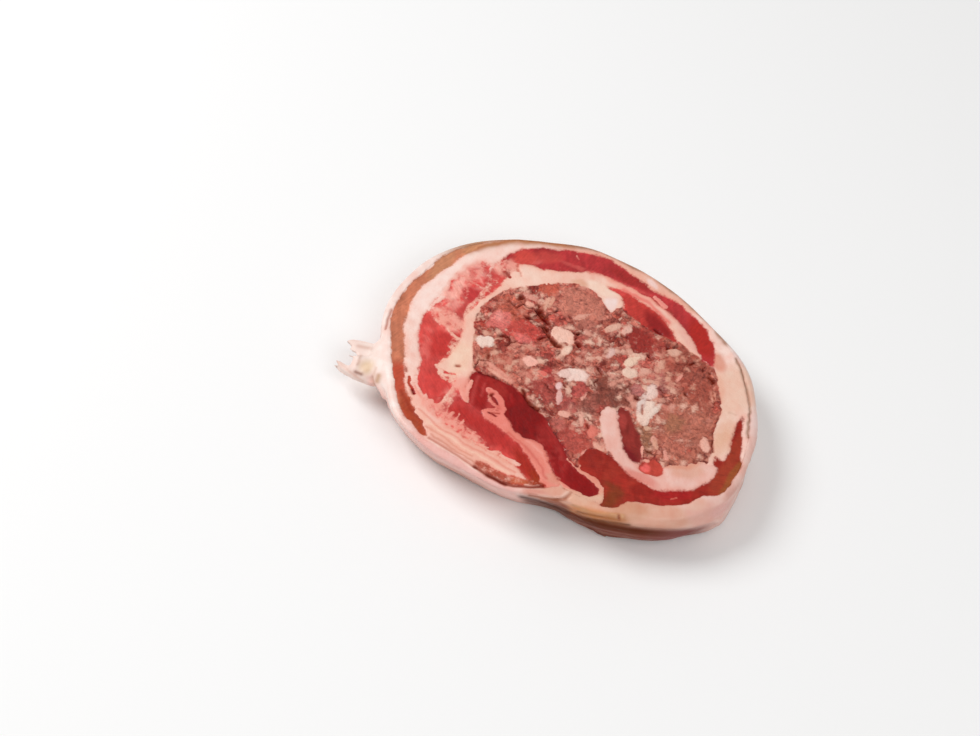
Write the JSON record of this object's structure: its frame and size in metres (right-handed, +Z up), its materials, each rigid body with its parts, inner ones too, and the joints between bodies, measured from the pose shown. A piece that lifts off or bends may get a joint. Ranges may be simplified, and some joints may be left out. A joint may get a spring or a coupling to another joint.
{
  "type": "slice of stuffed rolled veal breast",
  "caption": "Thick raw slice of a stuffed rolled breast: pale cover outside, then fat and lean layers round a coarse minced filling.",
  "frame": {"origin": "under the middle of the slice, at the height of the underside", "axes": "+X along the longer way of the cut face, +Z up out of the upper cut face"},
  "size_m": [0.1642, 0.1268, 0.0212],
  "materials": {
    "cover": "moist pale skin and fat",
    "outer_fat": "moist raw fat",
    "outer_lean": "raw lean, darkened by air",
    "side_lean": "moist raw lean, mottled with fat",
    "seam_fat": "moist raw fat",
    "top_lean": "moist raw lean",
    "lower_seam": "moist raw fat and fascia",
    "stuffing": "moist coarse mince with pieces of fat",
    "inner_lean": "moist raw lean",
    "lower_lean": "moist dark raw lean",
    "right_lean": "moist raw lean, darkened by air",
    "hook_fat": "moist raw fat",
    "hook_strip": "moist dark raw lean",
    "hook_nub": "moist raw lean"
  },
  "bodies": {
    "root": {"cover": "cover", "outer_fat": "outer_fat", "outer_lean": "outer_lean", "side_lean": "side_lean", "seam_fat": "seam_fat", "top_lean": "top_lean", "lower_seam": "lower_seam", "stuffing": "stuffing", "inner_lean": "inner_lean", "lower_lean": "lower_lean", "right_lean": "right_lean", "hook_fat": "hook_fat", "hook_strip": "hook_strip", "hook_nub": "hook_nub"}
  },
  "joints": []
}
